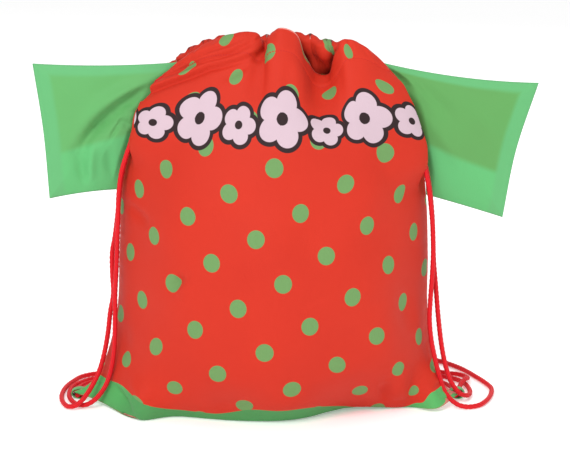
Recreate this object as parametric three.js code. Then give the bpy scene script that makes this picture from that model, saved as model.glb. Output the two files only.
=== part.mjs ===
// A T-shirt-shaped drawstring bag, filled out and standing on its base: two printed panels sewn
// together along the sides and the bottom, a cord tunnel along each lip of the mouth, two drawcords
// that each run through both tunnels and end at a bottom corner, and a stiffened sleeve on each side.
// Millimetres, +Z up, +X to the bag's right as it is looked at from the front, front towards -Y.
import * as THREE from 'three';
import { mergeVertices } from 'three/addons/utils/BufferGeometryUtils.js';

// Driving dimensions
const CLOTH = 1.2;                 // thickness of a panel's solid
const HALF_CLOTH = CLOTH / 2;
const DEPTH = 103;                 // the belly's reach in front of, and behind, the middle
const BODY_X = -9;                 // the body's middle; the sleeves' tips are equally far from X = 0
const SPLIT_Z = 275;               // the height where the lips start to lean when the mouth opens
const HEM_Z = 338;                 // top of the mouth's edge at the middle
const HEM_END_Z = 296;             // the mouth's edge at the side seams
const TUNNEL_HEIGHT = 21;
const TUNNEL_THICKNESS = 8;
const TUNNEL_WALL = 1;
const CORD_RADIUS = 2.3;
const CORD_SIDES = 8;
const STRAND_STEPS = 80;
const BRIDGE_STEPS = 12;
const CORD_GAP = 2.7;              // half the spacing of the two cords in one tunnel
const FLOOR_Z = 2.5;               // a cord's centre where it lies on the floor
const CORNER_Z = 5.1;              // the corner loops' centre, and the knots' in them
const SLEEVE_Y = 9;                // the sleeves' mid-plane, in line with the top of the side seams
const SLEEVE_CLOTH = 0.8;
const SLEEVE_PUFF = 4;             // how far each layer stands off the mid-plane at its middle
const SLEEVE_SEAM = 1.1;           // the same at the sewn edges
const BOARD = 0.6;                 // thickness of a sleeve's stiffening sheet
const NECK_ARC = THREE.MathUtils.degToRad(72);
const EAR_ARC = THREE.MathUtils.degToRad(35);

const point = (x, y, z) => new THREE.Vector3(x, y, z);
const rail = (points) => new THREE.CatmullRomCurve3(points.map((p) => point(...p)));

const fabric = (color) => new THREE.MeshStandardMaterial({ color, roughness: 0.75, metalness: 0 });
const printed = fabric(0xe84b3a);
const green = fabric(0x6cc07a);
const cordRed = fabric(0xcf2432);
const board = fabric(0xe9e2cf);

// --- shapes ------------------------------------------------------------------------------------

// A closed geometry with only positions, its shared vertices merged.
function closed(geometry) {
  geometry.deleteAttribute('normal');
  geometry.deleteAttribute('uv');
  return mergeVertices(geometry, 1e-3);
}

function normalAt(surface, across, up) {
  const step = 1e-3;
  const alongRow = surface(across + step, up).sub(surface(across - step, up));
  const alongColumn = surface(across, up + step).sub(surface(across, up - step));
  return alongRow.cross(alongColumn).normalize();
}

// A sheet of cloth: a thin box bent onto surface(across, up), both from 0 to 1.
function sheet(surface, thickness, columns, rows) {
  const geometry = new THREE.BoxGeometry(1, 1, 1, columns, rows, 1);
  const position = geometry.getAttribute('position');
  for (let i = 0; i < position.count; i++) {
    const across = position.getX(i) + 0.5;
    const up = position.getY(i) + 0.5;
    const offset = normalAt(surface, across, up).multiplyScalar(position.getZ(i) * thickness);
    const p = surface(across, up).add(offset);
    position.setXYZ(i, p.x, p.y, p.z);
  }
  return closed(geometry);
}

// The arc from left through crown to right that a filled panel follows at one height.
function arcPoint(left, crown, right, halfArc, across) {
  const angle = (2 * across - 1) * halfArc;
  const middle = left.clone().lerp(right, 0.5);
  const halfChord = right.clone().sub(left).multiplyScalar(0.5 * Math.sin(angle) / Math.sin(halfArc));
  const bulge = (Math.cos(angle) - Math.cos(halfArc)) / (1 - Math.cos(halfArc));
  return middle.clone().add(halfChord).addScaledVector(crown.clone().sub(middle), bulge);
}

// A panel between two side rails and a middle rail. The arc opens from the flat ears upwards, and
// the cloth lies flat on the floor where it would sink below it.
function panelSurface(left, crown, right) {
  return (across, up) => {
    const height = THREE.MathUtils.clamp(up, 0, 1);
    const arc = THREE.MathUtils.lerp(EAR_ARC, NECK_ARC, THREE.MathUtils.smoothstep(height, 0, 0.4));
    const p = arcPoint(left.getPoint(height), crown.getPoint(height), right.getPoint(height), arc, across);
    p.z = Math.max(p.z, HALF_CLOTH);
    return p;
  };
}

function ellipse(centreX, centreY, radiusX, radiusY, sides) {
  const points = [];
  for (let k = 0; k < sides; k++) {
    const a = (2 * Math.PI * (k + 0.5)) / sides;
    points.push(new THREE.Vector2(centreX + radiusX * Math.cos(a), centreY + radiusY * Math.sin(a)));
  }
  return points;
}

function sweep(outline, path, steps, hole) {
  const shape = new THREE.Shape(outline);
  if (hole) shape.holes.push(new THREE.Path(hole));
  return closed(new THREE.ExtrudeGeometry(shape, { steps, extrudePath: path, bevelEnabled: false }));
}

function cordTube(path, steps, offset = 0) {
  return sweep(ellipse(0, offset, CORD_RADIUS, CORD_RADIUS, CORD_SIDES), path, steps);
}

const bag = new THREE.Group();

function add(name, geometry, material) {
  const mesh = new THREE.Mesh(geometry, material);
  mesh.name = name;
  bag.add(mesh);
}

// --- body: two panels sewn together ---------------------------------------------------------------

// Side seams from the ear at a bottom corner up to the mouth, the left one flared a little wider.
const leftSeam = rail([
  [-190, -4, 8], [-179, -3, 13], [-167, -2, 26], [-157, 0, 50], [-149, 3, 90],
  [-147, 5, 135], [-143.5, 7, 190], [-133, 8, 240], [-118, 9, SPLIT_Z],
]);
const rightSeam = rail([
  [156, -4, 8], [147, -3, 13], [138, -2, 26], [131, 0, 50], [127, 3, 90],
  [127, 5, 135], [124.5, 7, 190], [117, 8, 240], [103, 9, SPLIT_Z],
]);
// Middle of the front panel: from the bottom seam round the belly and up, leaning back.
const frontMiddle = rail([
  [-14, -44, -8], [-13, -58, -6], [-11, -80, 16], [BODY_X, -97, 48], [BODY_X, -DEPTH, 90],
  [BODY_X, -100, 135], [BODY_X, -86, 190], [BODY_X, -66, 240], [BODY_X, -49, SPLIT_Z],
]);
// Middle of the back panel: it also forms the base that the bag stands on.
const backMiddle = rail([
  [-14, -44, -8], [-12, -8, -8], [-10, 44, -8], [BODY_X, 84, 24], [BODY_X, DEPTH, 80],
  [BODY_X, 99, 130], [BODY_X, 86, 190], [BODY_X, 66, 240], [BODY_X, 49, SPLIT_Z],
]);

const SEAM_GAP = 0.007;            // clear strip along each seam, so that front and back don't overlap
const EAR_GAP = 0.09;              // the back panel's at the ears, where it meets the front at a flat angle
const BOTTOM_GAP = 0.01;
const PANEL_GRID = 20;             // facets along each side of a panel

// A surface clear of its seams; reversed turns it inside out.
function trimmed(surface, reversed) {
  return (across, up) => {
    const atEar = reversed ? EAR_GAP : SEAM_GAP;
    const gap = THREE.MathUtils.lerp(atEar, SEAM_GAP, THREE.MathUtils.smoothstep(up, 0, 0.3));
    return surface(
      THREE.MathUtils.lerp(gap, 1 - gap, reversed ? 1 - across : across),
      THREE.MathUtils.lerp(BOTTOM_GAP, 1, up),
    );
  };
}

const frontSurface = trimmed(panelSurface(leftSeam, frontMiddle, rightSeam), false);
const backSurface = trimmed(panelSurface(leftSeam, backMiddle, rightSeam), true);
add('front_panel', sheet(frontSurface, CLOTH, PANEL_GRID, PANEL_GRID), printed);
add('back_panel', sheet(backSurface, CLOTH, PANEL_GRID, PANEL_GRID), printed);

// --- mouth: on each side a gathered lip with its cord tunnel --------------------------------------

const LIP_INSET = 2.2;             // the lip starts this far inside the panel, and slides behind it
const NECK_CROWN = 48;             // the panel's reach from the middle at SPLIT_Z
const MOUTH_CROWN = 14;            // the mouth's reach from the middle at its top edge
const LIP_END = 2;                 // half the distance between the two lips at the side seams
const MOUTH_END = 8;               // half the distance between the two tunnels there

function lipSurface(side) {
  const ending = (bottomX, topX) => rail([
    [bottomX, SLEEVE_Y + side * LIP_END, SPLIT_Z],
    [topX, SLEEVE_Y + side * MOUTH_END, HEM_END_Z],
  ]);
  const left = ending(-115, -105);
  const right = ending(100, 88);
  const crown = rail([
    [BODY_X, side * (NECK_CROWN - LIP_INSET), SPLIT_Z],
    [BODY_X, side * MOUTH_CROWN, HEM_Z],
  ]);
  return (across, up) => {
    const [l, c, r] = [left, crown, right].map((edge) => edge.getPoint(up));
    return arcPoint(l, c, r, NECK_ARC, across);
  };
}

const TUNNEL_SPANS = 12;
const TUNNEL_STEPS = 22;
const TUNNEL_SIDES = 10;

// The line down the middle of the tunnel, half its height below the mouth's edge.
function tunnelPath(surface) {
  const points = [];
  for (let k = 0; k <= TUNNEL_SPANS; k++) {
    const across = k / TUNNEL_SPANS;
    const edge = surface(across, 1);
    const down = surface(across, 0).sub(edge).normalize();
    points.push(edge.addScaledVector(down, TUNNEL_HEIGHT / 2));
  }
  return new THREE.CatmullRomCurve3(points);
}

const LIP_ENDS = 0.09;             // the part of the lip's width left out at each side seam
const LIP_FOOT = 0.02;             // the part of its height left out above the panel
const TUNNEL_GAP = 1.5;

// The lip below its tunnel, narrowing to almost nothing at the side seams.
function belowTunnel(surface, reversed) {
  return (across, up) => {
    const u = THREE.MathUtils.lerp(LIP_ENDS, 1 - LIP_ENDS, reversed ? 1 - across : across);
    const height = surface(u, 0).distanceTo(surface(u, 1));
    const top = Math.max(0.05, 1 - (TUNNEL_HEIGHT + TUNNEL_GAP) / height);
    return surface(u, THREE.MathUtils.lerp(LIP_FOOT, top, up));
  };
}

const insideTunnel = (size) => size / 2 - TUNNEL_WALL;
const tunnelOutside = ellipse(0, 0, TUNNEL_THICKNESS / 2, TUNNEL_HEIGHT / 2, TUNNEL_SIDES);
const tunnelInside = ellipse(
  0, 0, insideTunnel(TUNNEL_THICKNESS), insideTunnel(TUNNEL_HEIGHT), TUNNEL_SIDES,
).reverse();

const tunnels = {};
for (const [name, side] of [['front', -1], ['back', 1]]) {
  const surface = lipSurface(side);
  const path = tunnelPath(surface);
  tunnels[name] = path;
  add(`${name}_lip`, sheet(belowTunnel(surface, side > 0), CLOTH, 16, 2), printed);
  add(`${name}_cord_tunnel`, sweep(tunnelOutside, path, TUNNEL_STEPS, tunnelInside), printed);
  add(`left_cord_in_${name}_tunnel`, cordTube(path, TUNNEL_STEPS, CORD_GAP), cordRed);
  add(`right_cord_in_${name}_tunnel`, cordTube(path, TUNNEL_STEPS, -CORD_GAP), cordRed);
}

// --- drawcords outside the tunnels ----------------------------------------------------------------

// Points on a cord just past the end of its tunnel, at increasing distances.
function leaving(tunnel, offset, atRight, distances) {
  const path = tunnels[tunnel];
  const frames = path.computeFrenetFrames(TUNNEL_STEPS, false);
  const i = atRight ? TUNNEL_STEPS : 0;
  const end = path.getPoint(atRight ? 1 : 0).addScaledVector(frames.binormals[i], offset);
  const direction = frames.tangents[i].clone().multiplyScalar(atRight ? 1 : -1);
  return distances.map((d) => end.clone().addScaledVector(direction, d));
}

const EXIT = [0.5, 4];             // where a cord's first two points lie past its tunnel's end
const BRIDGE_REACH = 2.5;          // how much further a bridge's middle stands out

// Round the side of the mouth a cord crosses from the front tunnel into the back one.
function bridge(name, offset, atRight) {
  const [start, front] = leaving('front', offset, atRight, EXIT);
  const [end, back] = leaving('back', offset, atRight, EXIT);
  const [beyond] = leaving('front', offset, atRight, [EXIT[1] + BRIDGE_REACH]);
  const middle = front.clone().lerp(back, 0.5).add(beyond.sub(front));
  const path = new THREE.CatmullRomCurve3([start, front, middle, back, end]);
  add(name, cordTube(path, BRIDGE_STEPS), cordRed);
}

bridge('left_cord_bridge', CORD_GAP, true);
bridge('right_cord_bridge', -CORD_GAP, false);

// A free strand: out of a tunnel, round the shoulder, down the side and over the floor to its corner.
function strand(name, tunnel, offset, atRight, side, floor) {
  const start = leaving(tunnel, offset, atRight, EXIT);
  const hanging = side.map((p) => point(...p));
  const lying = floor.map(([x, y, z = FLOOR_Z]) => point(x, y, z));
  const path = new THREE.CatmullRomCurve3([...start, ...hanging, ...lying], false, 'centripetal');
  add(name, cordTube(path, STRAND_STEPS), cordRed);
}

strand('left_cord_back_strand', 'back', CORD_GAP, false, [
  [-116.2, 12, 278.4], [-123.5, 9.5, 274], [-126.2, 3, 266], [-129.5, -1, 255], [-135, -1.5, 236],
  [-141, -3, 216], [-144.8, -4.5, 198], [-147, -6, 175], [-150, -7.5, 152], [-152.5, -8.5, 138],
  [-152.6, -10, 120], [-152, -11, 101], [-155, -11.5, 84], [-157.2, -12.5, 66], [-161, -15, 46],
  [-165.5, -18, 31], [-170.8, -22, 20.5], [-176.2, -27.5, 12.6], [-180.5, -31, 7.9],
], [
  [-186, -33, 4.2], [-192.3, -29.5, 2.6], [-197.7, -18.5], [-201, -2], [-201.3, 16], [-199, 33],
  [-194.5, 48], [-189.3, 60], [-182, 67], [-172, 72], [-150, 80], [-125, 92], [-100, 104], [-75, 111],
  [-52, 110], [-38, 101], [-36, 88], [-46, 77.5], [-70, 71], [-100, 66], [-130, 57], [-150, 51],
  [-163, 45.5], [-173, 39.5], [-179.5, 32.5], [-183, 25], [-183.2, 18, 4], [-182.7, 10.6, 5],
]);
strand('left_cord_front_strand', 'front', CORD_GAP, false, [
  [-122.5, -6, 270], [-127, -8, 258], [-131.5, -8.5, 244], [-138, -10.5, 227], [-142.8, -12, 211],
  [-145.4, -13.5, 192], [-146.4, -15.5, 168], [-147.3, -17, 148], [-148.3, -18.5, 126],
  [-149.8, -20.5, 101], [-149.8, -22.5, 84], [-150.4, -24.5, 64], [-152, -25.5, 46], [-155.5, -26, 30],
  [-159.5, -26.5, 20], [-165.5, -27.5, 11.5], [-171, -28, 6.5],
], [
  [-177, -27.5, 3.4], [-184, -24], [-190, -14.5], [-194.2, 0], [-195.3, 16], [-194, 31], [-187, 43.5],
  [-179.5, 52.5], [-170, 58.5], [-150, 67], [-130, 77], [-112, 89], [-96, 97.5], [-81, 98], [-70.5, 91],
  [-70.5, 81.5], [-80.5, 76.5], [-100, 73.5], [-130, 66], [-150, 58.5], [-166, 52], [-177, 45],
  [-184.5, 36.5], [-188, 27], [-189, 18, 4], [-188.3, 10.6, 5],
]);
strand('right_cord_front_strand', 'front', -CORD_GAP, true, [
  [106, -5, 270], [109.5, -8, 258], [114, -8.5, 245], [118.5, -9.5, 228], [122.8, -11.5, 212],
  [126, -12.5, 196], [128.2, -13.5, 178], [129.8, -14.5, 160], [130.3, -16, 142], [129.6, -18, 120],
  [128.2, -20, 98], [127.6, -21.5, 80], [129.3, -22, 62], [133.5, -21, 42], [138, -19, 25],
  [142, -20, 14], [148, -25, 7],
], [
  [155, -29, 3.4], [163, -30.5], [172, -26], [180.5, -11.5], [186.5, 9], [188, 26], [183.5, 44],
  [177, 61], [167.5, 83], [157, 99.5], [146, 112], [128, 124], [106, 130], [90, 124], [87, 111.5],
  [99, 102.5], [116, 95], [130, 87], [142, 78.5], [151, 72], [159.5, 69.5], [165.5, 64.5],
  [168.6, 56, 3.2], [168.2, 46.5, 5.4], [165.6, 37, 7.9], [161.5, 27.5, 7.2], [158.6, 19, 5.4],
  [157.8, 10.6, 5],
]);
strand('right_cord_back_strand', 'back', -CORD_GAP, true, [
  [105, 9, 276], [108, 3, 268], [112.7, -1, 255], [118, -1.5, 238], [123.2, -3, 215], [127, -4.5, 195],
  [129.6, -5.5, 172], [130.6, -7, 150], [131.6, -9, 128], [133.8, -10.5, 104], [136.2, -11.5, 78],
  [139.6, -12.5, 52], [144, -13, 32], [149, -13.5, 19], [156, -14, 10], [162.5, -8, 6],
], [
  [166.8, 6, 3.4], [167.8, 22], [164.5, 41], [156.5, 54.5], [143, 63], [125, 70.5], [100, 81], [75, 93],
  [50, 102], [28, 102], [14, 92], [16, 79], [30, 72], [60, 68], [95, 60], [120, 54], [137, 47.5],
  [146.5, 40], [151.2, 30], [152.4, 19, 4], [152.2, 10.6, 5],
]);

// --- bottom corners: the fabric loop, and the knot that holds both ends of a cord in it -----------

const LOOP = { width: 12.4, height: 8, wall: 0.9, depth: 7, sides: 16 };
const KNOT = { y: 4, reach: point(5.3, 6, 3.3), lobes: 3, twist: 4, lobeHeight: 0.06 };

// A short tube of tape, open to the front and the back.
function cornerLoop(side, x) {
  const outside = ellipse(0, 0, LOOP.height / 2 + LOOP.wall, LOOP.width / 2 + LOOP.wall, LOOP.sides);
  const inside = ellipse(0, 0, LOOP.height / 2, LOOP.width / 2, LOOP.sides).reverse();
  const straight = rail([[x, 0, CORNER_Z], [x, LOOP.depth, CORNER_Z]]);
  add(`${side}_corner_loop`, sweep(outside, straight, 1, inside), green);
}

// A flattened ball with three twisted lobes.
function cordKnot(side, x) {
  const knot = new THREE.SphereGeometry(1, 16, 12);
  const position = knot.getAttribute('position');
  for (let i = 0; i < position.count; i++) {
    const p = new THREE.Vector3().fromBufferAttribute(position, i);
    const lobe = 1 + KNOT.lobeHeight * Math.sin(KNOT.lobes * Math.atan2(p.z, p.x) + KNOT.twist * p.y);
    const stretched = point(lobe * p.x, p.y, lobe * p.z).multiply(KNOT.reach);
    position.setXYZ(i, x + stretched.x, KNOT.y + stretched.y, CORNER_Z + stretched.z);
  }
  add(`${side}_cord_knot`, closed(knot), cordRed);
}

for (const [side, x] of [['left', -185.5], ['right', 155]]) {
  cornerLoop(side, x);
  cordKnot(side, x);
}

// --- sleeves: two layers sewn together along every edge, with a stiffening sheet between them -------

const sleeves = {
  left: {
    inner: [[-149, 192], [-145.5, 215], [-137, 240], [-130, 262], [-128.5, 281], [-118, 306]],
    outer: [[-208, 186], [-213, 245], [-223, 307]],
  },
  right: {
    inner: [[130, 188], [127, 212], [121, 238], [113, 260], [108, 279], [99, 302]],
    outer: [[193, 170], [205, 228], [223, 288]],
  },
};

const BOTTOM_RISE = 1.5;           // how far the bottom edge's middle stands above its ends
const TOP_SAG = 1;                 // how far the top edge's middle hangs below its ends

// A patch between four edges (0 to 1 outwards and upwards); x and z only.
function sleevePatch({ inner, outer }) {
  const flat = (points) => rail(points.map(([x, z]) => [x, 0, z]));
  const innerEdge = flat(inner);
  const outerEdge = flat(outer);
  return (outward, up) => {
    const a = innerEdge.getPoint(THREE.MathUtils.clamp(up, 0, 1));
    const b = outerEdge.getPoint(THREE.MathUtils.clamp(up, 0, 1));
    const p = a.lerp(b, outward);
    p.z += 4 * outward * (1 - outward) * THREE.MathUtils.lerp(BOTTOM_RISE, -TOP_SAG, up);
    return p;
  };
}

// The stiffening sheet covers this part of a sleeve, outwards and upwards.
const BOARD_OUTWARD = [0.12, 0.86];
const BOARD_UPWARD = [0.31, 0.91];
const SLEEVE_GRID = 12;

function sleeve(side) {
  const patch = sleevePatch(sleeves[side]);
  const layer = (sign) => (outward, up) => {
    const p = patch(outward, up);
    const fullness = Math.sqrt(Math.max(0, 16 * outward * (1 - outward) * up * (1 - up)));
    p.y = SLEEVE_Y + sign * (SLEEVE_SEAM + SLEEVE_PUFF * fullness);
    return p;
  };
  const inset = (outward, up) => {
    const p = patch(
      THREE.MathUtils.lerp(...BOARD_OUTWARD, outward),
      THREE.MathUtils.lerp(...BOARD_UPWARD, up),
    );
    p.y = SLEEVE_Y;
    return p;
  };
  add(`${side}_sleeve_front`, sheet(layer(-1), SLEEVE_CLOTH, SLEEVE_GRID, SLEEVE_GRID), green);
  add(`${side}_sleeve_back`, sheet(layer(1), SLEEVE_CLOTH, SLEEVE_GRID, SLEEVE_GRID), green);
  add(`${side}_sleeve_stiffener`, sheet(inset, BOARD, 6, 6), board);
}
sleeve('left');
sleeve('right');

export default bag;
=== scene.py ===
"""A T-shirt-shaped drawstring bag, filled out and standing on a pale floor: its looks, on the CAD frame.

Shapes are in millimetres up to the point where a mesh is made, and MM turns them into metres.
"""
import math

import bpy
import numpy as np
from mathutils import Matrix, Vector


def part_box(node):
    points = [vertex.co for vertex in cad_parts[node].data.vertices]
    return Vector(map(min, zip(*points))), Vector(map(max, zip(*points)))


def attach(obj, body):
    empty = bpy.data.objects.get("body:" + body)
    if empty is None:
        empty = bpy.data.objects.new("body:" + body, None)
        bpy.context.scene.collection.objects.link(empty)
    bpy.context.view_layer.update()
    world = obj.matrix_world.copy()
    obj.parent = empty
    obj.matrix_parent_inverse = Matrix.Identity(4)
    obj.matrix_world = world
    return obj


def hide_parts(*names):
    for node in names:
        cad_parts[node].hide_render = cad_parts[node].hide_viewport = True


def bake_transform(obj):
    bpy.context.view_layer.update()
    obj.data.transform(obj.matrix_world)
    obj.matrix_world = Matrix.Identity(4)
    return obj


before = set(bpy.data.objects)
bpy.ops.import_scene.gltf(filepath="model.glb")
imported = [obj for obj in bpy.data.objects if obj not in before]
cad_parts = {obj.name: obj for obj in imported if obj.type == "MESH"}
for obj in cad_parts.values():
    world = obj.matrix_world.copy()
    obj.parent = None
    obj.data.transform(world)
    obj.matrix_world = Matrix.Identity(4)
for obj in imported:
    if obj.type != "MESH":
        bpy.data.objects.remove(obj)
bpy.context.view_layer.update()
MM = 0.001


# --- camera, light and floor ---------------------------------------------------------------------

CAMERA_DISTANCE = 1.9
CAMERA_ELEVATION = math.radians(13)
VIEW_WIDTH = 0.504             # what the picture's width shows at the side seams
TARGET = (0.0, 0.0, 0.160)
SENSOR_WIDTH = 36
LIGHTS = [                     # name, place, width in metres, watts
    ("key", (-0.5, -1.5, 1.6), 0.7, 24),
    ("fill", (1.4, -1.2, 0.9), 1.0, 4),
    ("behind", (0.5, 1.6, 1.3), 1.2, 9),
]
WORLD_STRENGTH = 0.72
FLOOR_SIZE = 40
FLOOR_COLOUR = (0.97, 0.97, 0.97, 1)
FLOOR_GLOW = 0.25              # keeps the floor white to its far edge
WHITE = (1, 1, 1, 1)


def make_camera():
    data = bpy.data.cameras.new("camera")
    data.sensor_width = SENSOR_WIDTH
    data.lens = data.sensor_width * CAMERA_DISTANCE / VIEW_WIDTH
    camera = bpy.data.objects.new("camera", data)
    back = CAMERA_DISTANCE * math.cos(CAMERA_ELEVATION)
    up = CAMERA_DISTANCE * math.sin(CAMERA_ELEVATION)
    camera.location = (TARGET[0], TARGET[1] - back, TARGET[2] + up)
    camera.rotation_euler = (math.pi / 2 - CAMERA_ELEVATION, 0, 0)
    bpy.context.collection.objects.link(camera)
    bpy.context.scene.camera = camera


def area_light(name, location, size, energy):
    data = bpy.data.lights.new(name, "AREA")
    data.size = size
    data.energy = energy
    light = bpy.data.objects.new(name, data)
    light.location = location
    direction = np.array(TARGET) - np.array(location)
    light.rotation_euler = (
        math.atan2(np.hypot(direction[0], direction[1]), -direction[2]),
        0,
        math.atan2(-direction[0], direction[1]),
    )
    bpy.context.collection.objects.link(light)


def make_studio():
    world = bpy.data.worlds.new("studio")
    world.use_nodes = True
    background = world.node_tree.nodes["Background"]
    background.inputs["Color"].default_value = WHITE
    background.inputs["Strength"].default_value = WORLD_STRENGTH
    bpy.context.scene.world = world
    bpy.context.scene.view_settings.view_transform = "Standard"
    for name, location, size, energy in LIGHTS:
        area_light(name, location, size, energy)
    bpy.ops.mesh.primitive_plane_add(size=FLOOR_SIZE, location=(0, 0, 0))
    floor = bpy.context.object
    floor.name = "floor"
    material = bpy.data.materials.new("floor_white")
    material.use_nodes = True
    shader = material.node_tree.nodes["Principled BSDF"]
    shader.inputs["Base Color"].default_value = FLOOR_COLOUR
    shader.inputs["Roughness"].default_value = 0.9
    shader.inputs["Emission Color"].default_value = WHITE
    shader.inputs["Emission Strength"].default_value = FLOOR_GLOW
    floor.data.materials.append(material)


# --- curves ----------------------------------------------------------------------------------------

SAMPLES_PER_POINT = 40         # when a curve's length is measured


def catmull(points, where):
    """Centripetal Catmull-Rom through points, at each parameter in where, from 0 to 1."""
    points = np.asarray(points, float)
    last = len(points) - 1
    out = []
    for t in np.atleast_1d(where):
        place = min(max(float(t), 0.0), 1.0) * last
        i = min(int(place), last - 1)
        w = place - i
        p1, p2 = points[i], points[i + 1]
        p0 = points[i - 1] if i > 0 else 2 * p1 - p2
        p3 = points[i + 2] if i + 2 <= last else 2 * p2 - p1
        pairs = ((p0, p1), (p1, p2), (p2, p3))
        d0, d1, d2 = (max(np.linalg.norm(b - a), 1e-9) ** 0.5 for a, b in pairs)
        t1 = ((p1 - p0) / d0 - (p2 - p0) / (d0 + d1) + (p2 - p1) / d1) * d1
        t2 = ((p2 - p1) / d1 - (p3 - p1) / (d1 + d2) + (p3 - p2) / d2) * d1
        out.append(p1 + t1 * w + (3 * (p2 - p1) - 2 * t1 - t2) * w**2 + (2 * (p1 - p2) + t1 + t2) * w**3)
    return np.array(out)


def run_length(points):
    """How far along a polyline each of its points is."""
    return np.concatenate([[0], np.cumsum(np.linalg.norm(np.diff(points, axis=0), axis=1))])


def along(points, spacing):
    """Evenly spaced points on the curve through points, and the curve's length."""
    fine = catmull(points, np.linspace(0, 1, SAMPLES_PER_POINT * len(points)))
    length = run_length(fine)
    count = max(2, round(length[-1] / spacing) + 1)
    even = np.linspace(0, length[-1], count)
    return np.stack([np.interp(even, length, fine[:, k]) for k in range(3)], axis=1), length[-1]


def smooth(x, low, high):
    """0 at low and 1 at high, with a soft start and end; low may be the larger."""
    t = np.clip((np.asarray(x, float) - low) / (high - low), 0, 1)
    return t * t * (3 - 2 * t)


def bell(x, centre, width):
    """1 at centre, and 1/e at width to either side of it."""
    return np.exp(-((x - centre) / width) ** 2)


# --- meshes ----------------------------------------------------------------------------------------

def grid_mesh(name, points, uv, material, wrap=False, closed_ends=False):
    """A mesh from a (rows, columns, 3) array of points, with uv in millimetres of flat cloth."""
    rows, columns = points.shape[:2]
    span = columns if wrap else columns - 1
    r, c = np.meshgrid(np.arange(rows - 1), np.arange(span), indexing="ij")
    nxt = (c + 1) % columns
    below, above = r * columns, (r + 1) * columns
    faces = np.stack([below + c, below + nxt, above + nxt, above + c], -1).reshape(-1, 4).tolist()
    if closed_ends:
        faces.append(list(range(columns))[::-1])
        faces.append([(rows - 1) * columns + k for k in range(columns)])
    mesh = bpy.data.meshes.new(name)
    mesh.from_pydata(points.reshape(-1, 3).tolist(), [], faces)
    layer = mesh.uv_layers.new(name="cloth")
    loop_vertex = np.empty(len(mesh.loops), dtype=np.int32)
    mesh.loops.foreach_get("vertex_index", loop_vertex)
    layer.data.foreach_set("uv", uv.reshape(-1, 2)[loop_vertex].astype(np.float32).ravel())
    mesh.materials.append(material)
    for polygon in mesh.polygons:
        polygon.use_smooth = True
    piece = bpy.data.objects.new(name, mesh)
    bpy.context.collection.objects.link(piece)
    return piece


def normals_of(points):
    """Unit normals of a grid, towards whoever sees its columns run left to right and its rows run up."""
    up = np.gradient(points, axis=0)
    across = np.gradient(points, axis=1)
    n = np.cross(across, up)
    return n / np.maximum(np.linalg.norm(n, axis=2, keepdims=True), 1e-12)


def solidify(piece, thickness, inner_material=None):
    """Gives a sheet its thickness, inwards, and applies the modifier."""
    if inner_material:
        piece.data.materials.append(inner_material)
    modifier = piece.modifiers.new("cloth", "SOLIDIFY")
    modifier.thickness = thickness
    modifier.offset = -1
    modifier.use_even_offset = False
    if inner_material:
        modifier.material_offset = 1
    bpy.context.view_layer.objects.active = piece
    bpy.ops.object.modifier_apply(modifier=modifier.name)


# --- materials -------------------------------------------------------------------------------------

class Sum:
    """A number in a node tree, so that a pattern can be written as an expression."""

    def __init__(self, tree, socket):
        self.tree, self.socket = tree, socket

    def node(self, operation, *others):
        node = self.tree.nodes.new("ShaderNodeMath")
        node.operation = operation
        for i, value in enumerate((self, *others)):
            if isinstance(value, Sum):
                self.tree.links.new(value.socket, node.inputs[i])
            else:
                node.inputs[i].default_value = value
        return Sum(self.tree, node.outputs[0])

    def __add__(self, other):
        return self.node("ADD", other)

    def __sub__(self, other):
        return self.node("SUBTRACT", other)

    def __mul__(self, other):
        return self.node("MULTIPLY", other)

    def abs(self):
        return self.node("ABSOLUTE")

    def max(self, other):
        return self.node("MAXIMUM", other)

    def wrapped(self, half):
        """Repeats from -half to half."""
        return self.node("WRAP", half, -half)

    def length(self, other):
        return (self * self + other * other).node("SQRT")

    def step_below(self, edge, soft):
        """1 below edge, 0 above it, over a soft border."""
        node = self.tree.nodes.new("ShaderNodeMapRange")
        node.interpolation_type = "SMOOTHSTEP"
        self.tree.links.new(self.socket, node.inputs["Value"])
        limits = {"From Min": edge - soft, "From Max": edge + soft, "To Min": 1.0, "To Max": 0.0}
        for name, value in limits.items():
            node.inputs[name].default_value = value
        return Sum(self.tree, node.outputs[0])

    def step_above(self, edge, soft):
        """1 above edge, 0 below it, over a soft border."""
        return (self * -1.0).step_below(-edge, soft)

    def near(self, centre, reach, soft):
        """1 within reach of centre, 0 farther away, over a soft border."""
        return (self - centre).abs().step_below(reach, soft)


def cloth_axes(tree):
    """The flat cloth's coordinates in millimetres: to the right, and up from the bottom seam."""
    uv = tree.nodes.new("ShaderNodeUVMap")
    uv.uv_map = "cloth"
    split = tree.nodes.new("ShaderNodeSeparateXYZ")
    tree.links.new(uv.outputs["UV"], split.inputs[0])
    return Sum(tree, split.outputs[0]), Sum(tree, split.outputs[1])


def noise(tree, scale, detail, stretch=(1, 1, 1)):
    """Soft noise from 0 to 1 in the object's own coordinates, finer along an axis that is stretched."""
    texture = tree.nodes.new("ShaderNodeTexNoise")
    texture.inputs["Scale"].default_value = scale
    texture.inputs["Detail"].default_value = detail
    coordinates = tree.nodes.new("ShaderNodeTexCoord")
    mapping = tree.nodes.new("ShaderNodeMapping")
    mapping.inputs["Scale"].default_value = stretch
    tree.links.new(coordinates.outputs["Object"], mapping.inputs["Vector"])
    tree.links.new(mapping.outputs["Vector"], texture.inputs["Vector"])
    return Sum(tree, texture.outputs["Fac"])


def colour_mix(tree, amount, a, b):
    """a where amount is 0 and b where it is 1; a and b are colours or sockets."""
    node = tree.nodes.new("ShaderNodeMix")
    node.data_type = "RGBA"
    tree.links.new(amount.socket, node.inputs[0])
    for socket, value in ((node.inputs[6], a), (node.inputs[7], b)):
        if isinstance(value, tuple):
            socket.default_value = value
        else:
            tree.links.new(value, socket)
    return node.outputs[2]


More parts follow.
